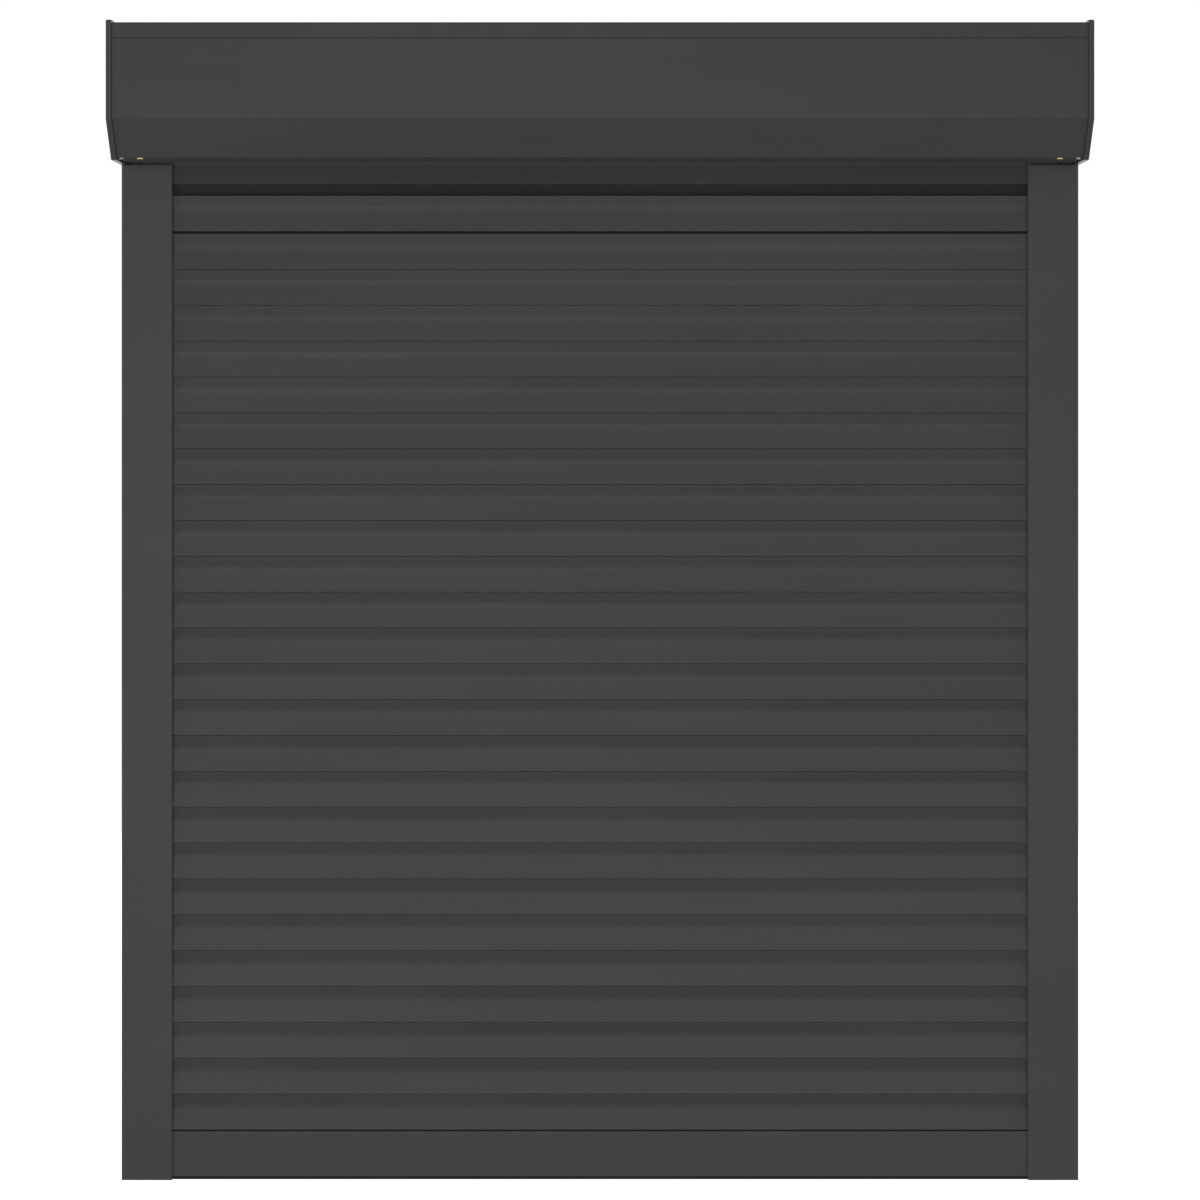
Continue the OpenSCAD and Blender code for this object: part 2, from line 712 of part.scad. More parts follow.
housing_top_cover();
housing_front_cover();
housing_rear_panel();
end_cap(false);  // end_cap_left
end_cap(true);  // end_cap_right
inlet_strip();
inlet_guide(false);  // inlet_guide_left
inlet_guide(true);  // inlet_guide_right
strap_inlet();
cover_screws();
cover_rivets();
underside_rivets();
bearing(false);  // bearing_left
bearing(true);  // bearing_right
roller_tube();
roller_plug(false);  // roller_plug_left
roller_plug(true);  // roller_plug_right
strap_pulley();
hanger_springs();
rail(false);  // rail_left
rail(true);  // rail_right
rail_seal(false, true);  // seal_left_front
rail_seal(false, false);  // seal_left_rear
rail_seal(true, true);  // seal_right_front
rail_seal(true, false);  // seal_right_rear
bottom_bar();
bottom_seal();
bar_plug(false);  // bar_plug_left
bar_plug(true);  // bar_plug_right
for (i = [1:slat_count]) slat(i);
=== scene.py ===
"""Exterior roller shutter: finishes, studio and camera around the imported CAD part.

Metres. Z is up, the front faces -Y, the wall plane is Y = 0 and the rails stand on Z = 0.
"""

from __future__ import annotations

import json
import logging
import math
from dataclasses import dataclass
from enum import Enum
from typing import Any, Callable, Iterable, Mapping, NamedTuple, Protocol, Sequence

import bmesh
import bpy
from mathutils import Matrix, Vector

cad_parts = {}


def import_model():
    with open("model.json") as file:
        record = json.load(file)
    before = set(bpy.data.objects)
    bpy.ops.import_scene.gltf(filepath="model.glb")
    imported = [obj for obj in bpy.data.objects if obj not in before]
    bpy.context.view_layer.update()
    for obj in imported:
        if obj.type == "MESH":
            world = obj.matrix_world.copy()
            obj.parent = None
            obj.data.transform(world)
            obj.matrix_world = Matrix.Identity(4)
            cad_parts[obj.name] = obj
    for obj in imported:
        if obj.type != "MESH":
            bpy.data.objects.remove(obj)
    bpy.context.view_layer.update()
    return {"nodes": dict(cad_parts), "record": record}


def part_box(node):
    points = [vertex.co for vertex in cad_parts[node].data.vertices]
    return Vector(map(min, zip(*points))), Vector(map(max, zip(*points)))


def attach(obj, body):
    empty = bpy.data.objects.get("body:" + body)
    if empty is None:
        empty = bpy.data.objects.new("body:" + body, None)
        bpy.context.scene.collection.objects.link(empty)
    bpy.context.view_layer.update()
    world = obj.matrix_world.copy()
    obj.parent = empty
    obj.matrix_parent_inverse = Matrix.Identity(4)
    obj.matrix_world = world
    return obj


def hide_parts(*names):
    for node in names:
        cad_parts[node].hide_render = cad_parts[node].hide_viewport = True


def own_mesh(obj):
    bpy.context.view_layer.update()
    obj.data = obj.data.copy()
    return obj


LOG = logging.getLogger("roller_shutter")
SIDES = (-1.0, 1.0)
WHITE = (1.0, 1.0, 1.0, 1.0)
Colour = tuple[float, float, float]
Point = tuple[float, float, float]
Span = tuple[float, float]


class Body(Enum):
    """CAD bodies that a piece can ride on."""

    FRAME = "frame"
    ROLLER = "roller"
    CURTAIN = "curtain"


class Slot(Enum):
    """Finishes: the record's material slots, and a dull coat in the slats' necks whose darker colour is
    painted shade of the joints.
    """

    PAINT = "paint"
    PAINTED_NECK_SHADE = "recess"
    RUBBER = "rubber"
    PLASTIC = "plastic"
    STEEL = "steel"
    BRASS = "brass"


class Corner(NamedTuple):
    """One corner of a section: depth, height, how far its rounding reaches and in how many facets."""

    y: float
    z: float
    rounding: float = 0.0
    facets: int = 0


class Value:
    """A number socket of a shader, with the arithmetic that the finishes use."""

    def __init__(self, graph: Graph, socket: bpy.types.NodeSocket) -> None:
        """Wrap a socket.

        Args:
            graph: Graph that holds the socket's node.
            socket: Output socket to calculate with.
        """
        self.graph = graph
        self.socket = socket

    def _math(self, operation: str, first: Any, second: Any) -> Value:
        """Add one Math node.

        Args:
            operation: Blender's name of the operation.
            first: First value or number.
            second: Second value or number.

        Returns:
            The node's result.
        """
        node = self.graph.add("ShaderNodeMath", {"operation": operation}, {0: first, 1: second})
        return Value(self.graph, node.outputs[0])

    def __add__(self, other: Any) -> Value:
        """Sum of two values."""
        return self._math("ADD", self, other)

    def __radd__(self, other: Any) -> Value:
        """Sum of a number and a value."""
        return self._math("ADD", other, self)

    def __sub__(self, other: Any) -> Value:
        """Difference of two values."""
        return self._math("SUBTRACT", self, other)

    def __rsub__(self, other: Any) -> Value:
        """Difference of a number and a value."""
        return self._math("SUBTRACT", other, self)

    def __mul__(self, other: Any) -> Value:
        """Product of two values."""
        return self._math("MULTIPLY", self, other)

    def maximum(self, other: Any) -> Value:
        """Larger of two values."""
        return self._math("MAXIMUM", self, other)

    def ramp(self, low: float, high: float, start: float = 0.0, end: float = 1.0) -> Value:
        """Map a stretch of the value to another, with clamped ends.

        Args:
            low: Value that gives start.
            high: Value that gives end.
            start: Result at low.
            end: Result at high.

        Returns:
            The mapped value.
        """
        node = self.graph.add(
            "ShaderNodeMapRange", {"clamp": True, "interpolation_type": "SMOOTHSTEP"},
            {"Value": self, "From Min": low, "From Max": high, "To Min": start, "To Max": end},
        )
        return Value(self.graph, node.outputs["Result"])


class Graph:
    """Node tree of a material or world, filled through a few methods."""

    def __init__(self, tree: bpy.types.NodeTree) -> None:
        """Empty the tree and keep it.

        Args:
            tree: Node tree to fill.
        """
        self.tree = tree
        tree.nodes.clear()

    def add(self, kind: str, settings: Mapping[str, Any] | None = None,
            inputs: Mapping[Any, Any] | None = None) -> bpy.types.Node:
        """Add a node.

        Args:
            kind: Blender's node type.
            settings: Properties that are set first.
            inputs: Values or links by socket name or number.

        Returns:
            The new node.
        """
        node = self.tree.nodes.new(kind)
        for name, setting in (settings or {}).items():
            setattr(node, name, setting)
        for key, given in (inputs or {}).items():
            socket = node.inputs[key]
            if isinstance(given, Value):
                self.tree.links.new(given.socket, socket)
            elif isinstance(given, bpy.types.NodeSocket):
                self.tree.links.new(given, socket)
            else:
                socket.default_value = given
        return node

    def value(self, node: bpy.types.Node, output: str) -> Value:
        """Wrap an output of a node.

        Args:
            node: Node of this graph.
            output: Name of the output.

        Returns:
            The wrapped output.
        """
        return Value(self, node.outputs[output])

    def ray(self, kind: str) -> Value:
        """Tell one kind of ray from the others.

        Args:
            kind: Output of the Light Path node.

        Returns:
            1 for that kind of ray and 0 for others.
        """
        return self.value(self.add("ShaderNodeLightPath"), kind)

    def mix(self, factor: Any, first: Colour, second: Colour) -> bpy.types.NodeSocket:
        """Mix two colours.

        Args:
            factor: Share of the second colour.
            first: First colour, linear.
            second: Second colour, linear.

        Returns:
            The mixed colour's socket.
        """
        node = self.add("ShaderNodeMix", {"data_type": "RGBA"},
                        {0: factor, 6: (*first, 1.0), 7: (*second, 1.0)})
        return node.outputs[2]

    def bump(self, height: Value, relief: Span) -> bpy.types.NodeSocket:
        """Bump the surface by a height.

        Args:
            height: Height, 0 to 1.
            relief: Height of 1 in metres, and the weight of the bump.

        Returns:
            The normal's socket.
        """
        distance, strength = relief
        node = self.add("ShaderNodeBump", None,
                        {"Height": height, "Distance": distance, "Strength": strength})
        return node.outputs["Normal"]

    def surface(self, inputs: Mapping[str, Any]) -> None:
        """Add the material's shader and the output that shows it.

        Args:
            inputs: Values or links of the shader by socket name.
        """
        shader = self.add("ShaderNodeBsdfPrincipled", None, inputs)
        self.add("ShaderNodeOutputMaterial", None, {"Surface": shader.outputs["BSDF"]})


@dataclass(frozen=True)
class Texture:
    """Noise that a finish is made of: cells to the metre, octaves, and a factor on each axis."""

    cells: float
    octaves: float
    stretch: Point = (1.0, 1.0, 1.0)

    def on(self, graph: Graph) -> Value:
        """Add the noise to a graph, in the frame's own metres.

        Args:
            graph: Graph of the finish.

        Returns:
            The noise, about 0.5 in the mean.
        """
        place = graph.add("ShaderNodeTexCoord")
        mapped = graph.add("ShaderNodeMapping", None,
                           {"Vector": place.outputs["Object"], "Scale": self.stretch})
        noise = graph.add("ShaderNodeTexNoise", None,
                          {"Vector": mapped.outputs["Vector"], "Scale": self.cells, "Detail": self.octaves})
        return graph.value(noise, "Fac")


def new_graph(name: str) -> tuple[bpy.types.Material, Graph]:
    """Make a material with an empty tree.

    Args:
        name: Name of the material.

    Returns:
        The material and its graph.
    """
    material = bpy.data.materials.new(name)
    material.use_nodes = True
    return material, Graph(material.node_tree)


def sharpen(shape: bmesh.types.BMesh, degrees: float = 28.0, broad: float = 0.0015) -> None:
    """Shade the roundings of a shape smooth and leave its broad faces flat.

    Args:
        shape: Shape to shade.
        degrees: Largest turn between two faces that stays smooth.
        broad: Area in square metres from which a face stays flat.
    """
    limit = math.radians(degrees)
    for face in shape.faces:
        face.smooth = face.calc_area() < broad
    for edge in shape.edges:
        edge.smooth = len(edge.link_faces) == 2 and edge.calc_face_angle(0.0) < limit


def finished(name: str, shape: bmesh.types.BMesh,
             materials: Sequence[bpy.types.Material]) -> bpy.types.Object:
    """Turn a shape into an object at the origin.

    Args:
        name: Name of the piece.
        shape: Its shape, freed here.
        materials: Its materials, in the order of the faces' indices.

    Returns:
        The new object.
    """
    bmesh.ops.recalc_face_normals(shape, faces=shape.faces)
    sharpen(shape)
    mesh = bpy.data.meshes.new(name)
    shape.to_mesh(mesh)
    shape.free()
    for material in materials:
        mesh.materials.append(material)
    piece = bpy.data.objects.new(name, mesh)
    bpy.context.scene.collection.objects.link(piece)
    return piece


def round_corner(shape: bmesh.types.BMesh, vert: bmesh.types.BMVert, corner: Corner) -> None:
    """Round one corner of a flat outline.

    Args:
        shape: Shape that holds the outline.
        vert: Corner to round.
        corner: How far the rounding reaches, and its facets.
    """
    bmesh.ops.bevel(shape, geom=[vert], offset=corner.rounding, offset_type="OFFSET", affect="VERTICES",
                    segments=corner.facets, profile=0.5, material=-1)


def drawn_verts(drawn: Mapping[str, Any]) -> list[bmesh.types.BMVert]:
    """Pick the new points out of what an extrusion made.

    Args:
        drawn: Result of a bmesh extrusion.

    Returns:
        Its points.
    """
    return [item for item in drawn["geom"] if isinstance(item, bmesh.types.BMVert)]


def extrude_x(shape: bmesh.types.BMesh, length: float) -> None:
    """Draw a flat outline out along X.

    Args:
        shape: Shape that holds the outline's only face.
        length: How far it goes.
    """
    drawn = bmesh.ops.extrude_face_region(shape, geom=list(shape.faces))
    bmesh.ops.translate(shape, verts=drawn_verts(drawn), vec=(length, 0.0, 0.0))
    shape.normal_update()


class Finish(Protocol):
    """Anything that can build a material."""

    def material(self) -> bpy.types.Material:
        """Build the finish."""


@dataclass(frozen=True)
class PowderCoat:
    """Fine-textured satin powder coat on aluminium."""

    name: str = "anthracite_powder_coat"
    colour: Colour = (0.0422, 0.0422, 0.0426)
    pale: Colour = (0.0470, 0.0470, 0.0474)
    roughness: float = 0.28
    gloss: float = 0.20
    grain: Texture = Texture(1500.0, 2.0)
    cloud: Texture = Texture(9.0, 3.0, (0.25, 1.0, 1.0))
    speck: Texture = Texture(675.0, 1.0)
    cloud_tint: Span = (0.3, 0.7)
    speck_tint: Span = (0.62, 0.78)
    cloud_share: float = 0.7
    speck_share: float = 0.5
    grain_rough: float = 0.08
    cloud_rough: float = 0.04
    relief: Span = (0.00005, 0.35)

    def material(self) -> bpy.types.Material:
        """Build the finish."""
        made, graph = new_graph(self.name)
        grain = self.grain.on(graph)
        cloud = self.cloud.on(graph)
        speck = self.speck.on(graph).ramp(*self.speck_tint)
        blend = cloud.ramp(*self.cloud_tint) * self.cloud_share + speck * self.speck_share
        tone = blend.ramp(0.0, self.cloud_share + self.speck_share)
        even = self.roughness - (self.grain_rough + self.cloud_rough) / 2.0
        graph.surface({
            "Base Color": graph.mix(tone, self.colour, self.pale),
            "Roughness": even + grain * self.grain_rough + cloud * self.cloud_rough,
            "Specular IOR Level": self.gloss,
            "Normal": graph.bump(grain, self.relief),
        })
        return made


@dataclass(frozen=True)
class Rubber:
    """Matt black extruded rubber."""

    name: str = "black_rubber"
    colour: Colour = (0.005, 0.005, 0.005)
    bloom: Colour = (0.011, 0.011, 0.011)
    roughness: float = 0.62
    gloss: float = 0.2
    streak: Texture = Texture(220.0, 3.0, (0.04, 1.0, 1.0))
    streak_tint: Span = (0.35, 0.75)
    streak_rough: float = 0.2
    relief: Span = (0.0001, 0.3)

    def material(self) -> bpy.types.Material:
        """Build the finish."""
        made, graph = new_graph(self.name)
        streak = self.streak.on(graph)
        graph.surface({
            "Base Color": graph.mix(streak.ramp(*self.streak_tint), self.colour, self.bloom),
            "Roughness": self.roughness + streak * self.streak_rough,
            "Specular IOR Level": self.gloss,
            "Normal": graph.bump(streak, self.relief),
        })
        return made


@dataclass(frozen=True)
class MouldedPlastic:
    """Black moulded plastic with a fine spark-eroded grain."""

    name: str = "moulded_plastic"
    colour: Colour = (0.016, 0.016, 0.017)
    pale: Colour = (0.028, 0.028, 0.029)
    roughness: float = 0.5
    gloss: float = 0.15
    grain: Texture = Texture(900.0, 2.0)
    grain_tint: Span = (0.4, 0.7)
    grain_rough: float = 0.16
    relief: Span = (0.0001, 0.4)

    def material(self) -> bpy.types.Material:
        """Build the finish."""
        made, graph = new_graph(self.name)
        grain = self.grain.on(graph)
        graph.surface({
            "Base Color": graph.mix(grain.ramp(*self.grain_tint), self.colour, self.pale),
            "Roughness": self.roughness + grain * self.grain_rough,
            "Specular IOR Level": self.gloss,
            "Normal": graph.bump(grain, self.relief),
        })
        return made


@dataclass(frozen=True)
class GalvanisedSteel:
    """Galvanised steel strip and tube, with drawn streaks and pale spangle."""

    name: str = "galvanised_steel"
    colour: Colour = (0.70, 0.71, 0.72)
    pale: Colour = (0.92, 0.93, 0.94)
    roughness: float = 0.12
    streak: Texture = Texture(400.0, 4.0, (0.02, 1.0, 1.0))
    spangle: Texture = Texture(120.0, 2.0)
    tint: Span = (0.35, 0.65)
    streak_rough: float = 0.12
    spangle_rough: float = 0.08
    relief: Span = (0.00005, 0.3)

    def material(self) -> bpy.types.Material:
        """Build the finish."""
        made, graph = new_graph(self.name)
        streak = self.streak.on(graph)
        spangle = self.spangle.on(graph)
        mean = streak * 0.5 + spangle * 0.5
        graph.surface({
            "Base Color": graph.mix(mean.ramp(*self.tint), self.colour, self.pale),
            "Metallic": 1.0,
            "Roughness": self.roughness + streak * self.streak_rough + spangle * self.spangle_rough,
            "Normal": graph.bump(streak, self.relief),
        })
        return made


@dataclass(frozen=True)
class PassivatedBrass:
    """Yellow-passivated screw, with a little dulling."""

    name: str = "yellow_passivated_screw"
    colour: Colour = (0.88, 0.70, 0.38)
    dull: Colour = (0.66, 0.54, 0.32)
    roughness: float = 0.16
    cloud: Texture = Texture(700.0, 3.0)
    cloud_tint: Span = (0.35, 0.7)
    cloud_rough: float = 0.16

    def material(self) -> bpy.types.Material:
        """Build the finish."""
        made, graph = new_graph(self.name)
        cloud = self.cloud.on(graph)
        graph.surface({
            "Base Color": graph.mix(cloud.ramp(*self.cloud_tint), self.colour, self.dull),
            "Metallic": 1.0,
            "Roughness": self.roughness + cloud * self.cloud_rough,
        })
        return made


FINISHES: dict[Slot, Finish] = {
    Slot.PAINT: PowderCoat(),
    # Slat necks: the dull roughness is a finish, but the darker colour is painted shade standing in for the
    # shade deep in the joints
    Slot.PAINTED_NECK_SHADE: PowderCoat(name="dull_coat_with_painted_shade_in_necks", colour=(0.020, 0.020, 0.020),
                            pale=(0.024, 0.024, 0.024), roughness=0.6, gloss=0.12),
    Slot.RUBBER: Rubber(),
    Slot.PLASTIC: MouldedPlastic(),
    Slot.STEEL: GalvanisedSteel(),
    Slot.BRASS: PassivatedBrass(),
}


class Wardrobe:
    """The finished materials, one to a slot."""

    def __init__(self) -> None:
        """Build every finish once."""
        self.made = {slot: finish.material() for slot, finish in FINISHES.items()}

    def dress(self, piece: bpy.types.Object, slot: Slot) -> None:
        """Give a piece the finish of a slot.

        Args:
            piece: Piece to dress.
            slot: Its finish.
        """
        piece.data.materials.clear()
        piece.data.materials.append(self.made[slot])


@dataclass(frozen=True)
class Lamp:
    """A soft area lamp that no surface mirrors: place, point it faces, width and height, power."""

    name: str
    place: Point
    target: Point
    size: Span
    watts: float

    def hang(self) -> None:
        """Add the lamp to the scene, turned to its target."""
        data = bpy.data.lights.new(self.name, "AREA")
        data.shape = "RECTANGLE"
        data.size, data.size_y = self.size
        data.energy = self.watts
        lamp = bpy.data.objects.new(self.name, data)
        lamp.location = self.place
        lamp.rotation_euler = (Vector(self.target) - Vector(self.place)).to_track_quat("-Z", "Y").to_euler()
        lamp.visible_glossy = False
        lamp.visible_camera = False
        bpy.context.scene.collection.objects.link(lamp)


# The bounce lamp lies just over the floor, and both lie below the rails' feet to light them evenly
FLOOR_Z = -0.0065
BOUNCE_Z = FLOOR_Z + 0.0001


@dataclass(frozen=True)
class Studio:
    """Floor, white surround, soft light and the photograph's camera."""

    lens: float = 102.80
    sensor: float = 36.0
    camera_y: float = -3.603
    camera_z: float = 0.805
    shift_y: float = -0.15848
    floor_half: float = 9.0
    floor_grey: float = 0.8
    floor_glow: float = 0.85
    mirrored_edge: Span = (-0.40, -0.30)
    mirrored_low: float = 0.1
    mirrored_high: float = 1.0
    soft_edge: Span = (-0.4, 0.3)
    soft_low: float = 0.24
    soft_high: float = 0.20
    lamps: tuple[Lamp, ...] = (
        Lamp("key_above_front", (0.5, -3.0, 3.6), (0.0, -0.05, 0.6), (3.0, 1.8), 4.0),
        Lamp("fill_front", (-0.35, -2.6, 0.60), (0.0, -0.02, 0.62), (2.6, 0.7), 29.0),
        Lamp("fill_left", (-3.0, -0.6, 1.0), (0.0, -0.05, 0.6), (1.6, 1.6), 12.0),
        Lamp("fill_right", (3.0, -0.6, 1.0), (0.0, -0.05, 0.6), (1.6, 1.6), 12.0),
        Lamp("fill_behind", (0.0, 2.8, 1.2), (0.0, 0.0, 0.6), (3.0, 1.6), 26.0),
        Lamp("bounce_from_floor", (0.0, -0.6, BOUNCE_Z), (0.0, -0.6, 2.0), (6.0, 5.0), 66.0),
    )

    def build(self) -> None:
        """Make the floor, world, lamps and camera."""
        self._floor()
        self._world()
        for lamp in self.lamps:
            lamp.hang()
        self._camera()

    def _floor(self) -> None:
        """Lay a pale floor that stays white to the camera and keeps the shadow."""
        mesh = bpy.data.meshes.new("floor")
        shape = bmesh.new()
        bmesh.ops.create_grid(shape, x_segments=1, y_segments=1, size=self.floor_half)
        bmesh.ops.translate(shape, verts=shape.verts, vec=(0.0, 0.0, FLOOR_Z))
        shape.to_mesh(mesh)
        shape.free()
        floor = bpy.data.objects.new("floor", mesh)
        bpy.context.scene.collection.objects.link(floor)
        made, graph = new_graph("pale_floor")
        seen = graph.ray("Is Camera Ray").maximum(graph.ray("Is Transmission Ray"))
        grey = (self.floor_grey, self.floor_grey, self.floor_grey, 1.0)
        matt = graph.add("ShaderNodeBsdfDiffuse", None, {"Color": grey})
        glow = graph.add("ShaderNodeEmission", None, {"Color": WHITE, "Strength": seen * self.floor_glow})
        both = graph.add("ShaderNodeAddShader", None, {0: matt.outputs[0], 1: glow.outputs[0]})
        graph.add("ShaderNodeOutputMaterial", None, {"Surface": both.outputs[0]})
        mesh.materials.append(made)
        floor.visible_glossy = False

    def _world(self) -> None:
        """Surround the scene with white for the camera, and for mirrors and soft light by height."""
        world = bpy.data.worlds.new("soft_surround")
        world.use_nodes = True
        bpy.context.scene.world = world
        graph = Graph(world.node_tree)
        seen = graph.ray("Is Camera Ray").maximum(graph.ray("Is Transmission Ray"))
        glossy = graph.ray("Is Glossy Ray")
        place = graph.add("ShaderNodeTexCoord")
        split = graph.add("ShaderNodeSeparateXYZ", None, {0: place.outputs["Generated"]})
        height = graph.value(split, "Z")
        mirrored = height.ramp(*self.mirrored_edge, self.mirrored_low, self.mirrored_high)
        soft = height.ramp(*self.soft_edge, self.soft_low, self.soft_high)
        strength = seen + (1.0 - seen) * (glossy * mirrored + (1.0 - glossy) * soft)
        light = graph.add("ShaderNodeBackground", None, {"Color": WHITE, "Strength": strength})
        graph.add("ShaderNodeOutputWorld", None, {"Surface": light.outputs[0]})

    def _camera(self) -> None:
        """Place the level camera of the photograph."""
        data = bpy.data.cameras.new("photo_camera")
        data.sensor_width = self.sensor
        data.lens = self.lens
        data.shift_y = self.shift_y
        camera = bpy.data.objects.new("photo_camera", data)
        camera.location = (0.0, self.camera_y, self.camera_z)
        camera.rotation_euler = (math.radians(90.0), 0.0, 0.0)
        bpy.context.scene.collection.objects.link(camera)
        bpy.context.scene.camera = camera


@dataclass
class Curtain:
    """The slats, with finer bows and edges than their solids, and their end locks."""

    count: int = 27
    gap: float = 0.0003
    bow: float = 0.0032
    bend_z: float = 0.023
    edge: float = 0.0076
    depth: float = 0.0090
    neck_y: float = 0.0056
    neck_t: float = 0.0009
    neck_h: float = 0.0138
    hook_reach: float = 0.0014
    hook_h: float = 0.0014
    hook_play: float = 0.0003
    pocket_head: float = 0.001
    mouth_play: float = 0.00045
    catch_h: float = 0.0011
    bend_run: float = 0.0042
    bend_facets: int = 12
    edge_round: float = 0.0003
    lip_round: float = 0.00035
    shoulder_round: float = 0.0004
    hook_round: float = 0.0005
    edge_facets: int = 3
    inner_facets: int = 2
    lock: Point = (0.0024, 0.0052, 0.015)
    lock_z: float = 0.0175
    lock_gap: float = 0.00005
    lock_round: float = 0.0006
    lock_facets: int = 2
    # The third coat darkens the necks: painted shade of the joints between slats
    coats: tuple[Slot, ...] = (Slot.PAINT, Slot.PLASTIC, Slot.PAINTED_NECK_SHADE)

    def build(self, wardrobe: Wardrobe) -> None:
        """Make every slat in place of its solid.

        Args:
            wardrobe: Finished materials.
        """
        lowest, next_up = (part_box(f"slat_{number:02d}")[0] for number in (1, 2))
        pitch = next_up.z - lowest.z
        half_length = -lowest.x - self.lock_gap - self.lock[0]
        for number in range(1, self.count + 1):
            node = f"slat_{number:02d}"
            low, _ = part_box(node)
            shape = self._slat(half_length, pitch)
            bmesh.ops.translate(shape, verts=shape.verts, vec=(0.0, low.y, low.z))
            piece = finished(f"curtain_{node}", shape, [wardrobe.made[slot] for slot in self.coats])
            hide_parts(node)
            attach(piece, Body.CURTAIN.value)
            LOG.info("made %s", piece.name)

    def _outline(self, pitch: float) -> list[Corner]:
        """Give the section's corners.

        Args:
            pitch: Height from one slat to the next.

        Returns:
            The corners: up the front, round the neck and its hook, down the rear and through the pocket.
        """
        top = pitch - self.gap
        neck_top = top + self.neck_h
        hook_top = neck_top + self.hook_h
        hook_front = self.neck_y - self.hook_reach
        neck_rear = self.neck_y + self.neck_t
        pocket_top = self.neck_h + self.hook_h + self.pocket_head
        pocket_front = hook_front - self.hook_play
        pocket_rear = neck_rear + self.hook_play
        mouth = self.neck_y - self.mouth_play
        return [
            Corner(0.0, 0.0, self.edge_round, self.edge_facets),
            Corner(self.bow, self.bend_z, self.bend_run, self.bend_facets),
            Corner(0.0, top, self.lip_round, self.edge_facets),
            Corner(self.neck_y, top),
            Corner(self.neck_y, neck_top),
            Corner(hook_front, neck_top),
            Corner(hook_front, hook_top, self.hook_round, self.edge_facets),
            Corner(neck_rear, hook_top, self.edge_round, self.inner_facets),
            Corner(neck_rear, top),
            Corner(self.edge, top, self.shoulder_round, self.edge_facets),
            Corner(self.depth, self.bend_z, self.bend_run, self.bend_facets),
            Corner(self.edge, 0.0, self.edge_round, self.edge_facets),
            Corner(pocket_rear, 0.0),
            Corner(pocket_rear, pocket_top, self.edge_round, self.inner_facets),
            Corner(pocket_front, pocket_top),
            Corner(pocket_front, self.catch_h),
            Corner(mouth, self.catch_h),
            Corner(mouth, 0.0),
        ]

    def _slat(self, half_length: float, pitch: float) -> bmesh.types.BMesh:
        """Draw out one slat and set a lock on each end.

        Args:
            half_length: Half of the slat's length.
            pitch: Height from one slat to the next.

        Returns:
            The slat at the origin's height, its front edge on Y = 0.
        """
        shape = bmesh.new()
        outline = self._outline(pitch)
        ring = [shape.verts.new((-half_length, corner.y, corner.z)) for corner in outline]
        shape.faces.new(ring)
        for vert, corner in zip(ring, outline):
            if corner.facets:
                round_corner(shape, vert, corner)
        extrude_x(shape, 2.0 * half_length)
        for face in shape.faces:
            on_end = abs(face.normal.x) > 0.5
            # Neck and hook faces above the slat's own height take the darkened coat: painted shade of the
            # joint
            if face.calc_center_median().z > pitch and not on_end:
                face.material_index = self.coats.index(Slot.PAINTED_NECK_SHADE)
        for side in SIDES:
            self._end_lock(shape, side, half_length)
        return shape

    def _end_lock(self, shape: bmesh.types.BMesh, side: float, half_length: float) -> None:
        """Add the moulded lock at one end of a slat.

        Args:
            shape: Slat to add it to.
            side: -1 for the left end, 1 for the right.
            half_length: Half of the slat's length.
        """
        made = bmesh.ops.create_cube(shape, size=1.0)
        centre = (side * (half_length + self.lock_gap + self.lock[0] / 2.0),
                  self.bow + self.lock[1] / 2.0, self.lock_z + self.lock[2] / 2.0)
        bmesh.ops.scale(shape, verts=made["verts"], vec=self.lock)
        bmesh.ops.translate(shape, verts=made["verts"], vec=centre)
        faces = {face for vert in made["verts"] for face in vert.link_faces}
        edges = list({edge for face in faces for edge in face.edges})
        for face in faces:
            face.material_index = self.coats.index(Slot.PLASTIC)
        bmesh.ops.bevel(shape, geom=edges, offset=self.lock_round, offset_type="OFFSET", affect="EDGES",
                        segments=self.lock_facets, profile=0.5, material=-1)


@dataclass
class Hangers:
    """Spring strips between the roller and the top slat, riding rigidly on the roller; the real strips fold
    to the tube as it turns.

    A strip's bends are depths and heights. Those where it leaves the tube start from the tube's front
    flat at the height of its axis, and those where it meets the slat from the solids' lowest rear edge.
    """

    places: tuple[float, ...] = (-0.365, 0.0, 0.365)
    half_width: float = 0.012
    flat_y: float = -0.04835
    thickness: float = 0.0008
    leaving: tuple[Span, ...] = ((0.0, -0.003), (0.004, -0.0085))
    landing: tuple[Span, ...] = ((-0.012, 0.0065), (-0.006, 0.0022), (-0.002, 0.0004), (0.0, 0.0002))

    def build(self, wardrobe: Wardrobe) -> None:
        """Make the strips in place of their solids.

        Args:
            wardrobe: Finished materials.
        """
        low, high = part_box("hanger_springs")
        tube_low, tube_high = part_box("roller_tube")
        middle_z = (tube_low.z + tube_high.z) / 2.0
        path = [(self.flat_y, high.z)]
        path += [(self.flat_y + y, middle_z + z) for y, z in self.leaving]
        path += [(high.y + y, low.z + z) for y, z in self.landing]
        shape = bmesh.new()
        for place in self.places:
            chain = [shape.verts.new((place - self.half_width, y, z)) for y, z in path]
            run = [shape.edges.new(pair) for pair in zip(chain, chain[1:])]
            drawn = bmesh.ops.extrude_edge_only(shape, edges=run)
            bmesh.ops.translate(shape, verts=drawn_verts(drawn), vec=(2.0 * self.half_width, 0.0, 0.0))
        bmesh.ops.recalc_face_normals(shape, faces=shape.faces)
        bmesh.ops.solidify(shape, geom=list(shape.faces), thickness=-self.thickness)
        piece = finished("hanger_strips", shape, [wardrobe.made[Slot.STEEL]])
        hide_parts("hanger_springs")
        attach(piece, Body.ROLLER.value)
        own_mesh(piece)
        LOG.info("made %s", piece.name)


